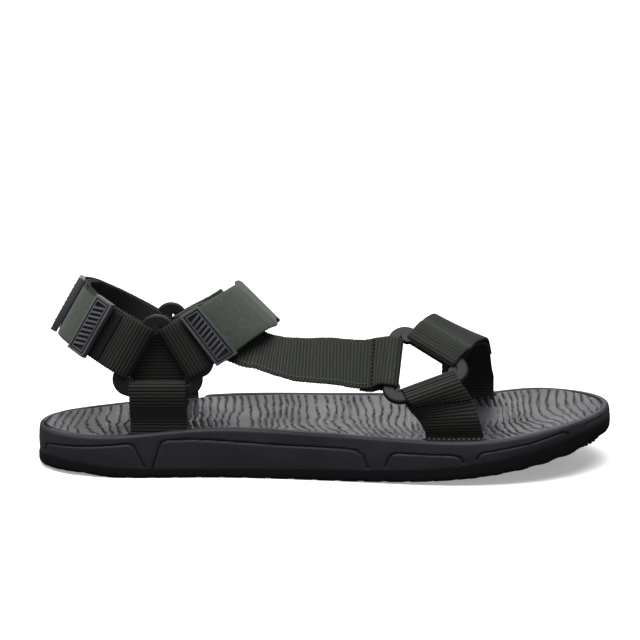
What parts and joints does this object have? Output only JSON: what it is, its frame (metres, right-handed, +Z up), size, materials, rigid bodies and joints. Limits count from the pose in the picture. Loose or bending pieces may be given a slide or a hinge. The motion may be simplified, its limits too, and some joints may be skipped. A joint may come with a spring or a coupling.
{
  "type": "strappy sport sandal",
  "caption": "Right-foot strappy sport sandal with a contoured foam sole, webbing straps looped through triangle rings and peel-open hook-and-loop closures with pull tabs",
  "frame": {"origin": "on the ground, under the middle of the overall bounding box", "axes": "+X towards the toe, +Y towards the inner side of the foot, +Z up"},
  "size_m": [0.2932, 0.1058, 0.0967],
  "materials": {
    "outsole_rubber": "moulded tread rubber, near black, matt",
    "midsole_foam": "moulded foam side wall, charcoal, fine matt skin",
    "footbed_foam": "charcoal grey foam with a wavy contour-line texture",
    "ring_plastic": "grey satin moulded plastic",
    "tab_rubber": "grey moulded rubber with a recessed panel",
    "loop_tape": "dark soft loop tape",
    "hook_tape": "dark hook tape",
    "smooth_webbing": "grey-green brushed loop-faced webbing",
    "ribbed_webbing": "dark olive-grey cross-ribbed webbing"
  },
  "bodies": {
    "sandal": {"ankle_pad_inner": "ribbed_webbing", "ankle_pad_outer": "ribbed_webbing", "footbed": "footbed_foam", "heel_anchor_outer": "ribbed_webbing", "heel_loop_patch": "loop_tape", "heel_strap": "smooth_webbing", "instep_anchor_outer": "ribbed_webbing", "instep_loop_patch": "loop_tape", "instep_strap": "smooth_webbing", "midsole": "midsole_foam", "outsole": "outsole_rubber", "quarter_strap": "ribbed_webbing", "ring_front_outer": "ring_plastic", "ring_rear_inner": "ring_plastic", "ring_rear_outer": "ring_plastic", "riser_rear_inner": "ribbed_webbing", "riser_rear_outer": "ribbed_webbing", "riser_toe_outer": "ribbed_webbing", "toe_strap": "ribbed_webbing"},
    "heel_flap": {"heel_flap": "smooth_webbing", "heel_pull_tab": "tab_rubber", "heel_hook_patch": "hook_tape"},
    "heel_return_flap": {"heel_return_flap": "smooth_webbing", "heel_return_pull_tab": "tab_rubber", "heel_return_hook_patch": "hook_tape"},
    "instep_flap": {"instep_flap": "smooth_webbing", "instep_pull_tab": "tab_rubber", "instep_hook_patch": "hook_tape"},
    "toe_flap": {"toe_flap": "ribbed_webbing", "toe_hook_patch": "hook_tape"}
  },
  "joints": [
    {"name": "heel_flap_peel", "type": "hinge", "parent": "sandal", "child": "heel_flap", "pos_m": [-0.12648, -0.01404, 0.0814], "axis": [-0.5, 0, -0.866], "range_deg": [0, 75]},
    {"name": "heel_return_flap_peel", "type": "hinge", "parent": "sandal", "child": "heel_return_flap", "pos_m": [-0.10292, 0.03643, 0.0656], "axis": [-0.5, 0, -0.866], "range_deg": [0, 80]},
    {"name": "instep_flap_peel", "type": "hinge", "parent": "sandal", "child": "instep_flap", "pos_m": [-0.03453, -0.01833, 0.08341], "axis": [-0.7211, 0.0501, 0.691], "range_deg": [0, 95]},
    {"name": "toe_flap_peel", "type": "hinge", "parent": "sandal", "child": "toe_flap", "pos_m": [0.06027, -0.0192, 0.06975], "axis": [0.8217, -0.3591, -0.4426], "range_deg": [0, 85]}
  ]
}
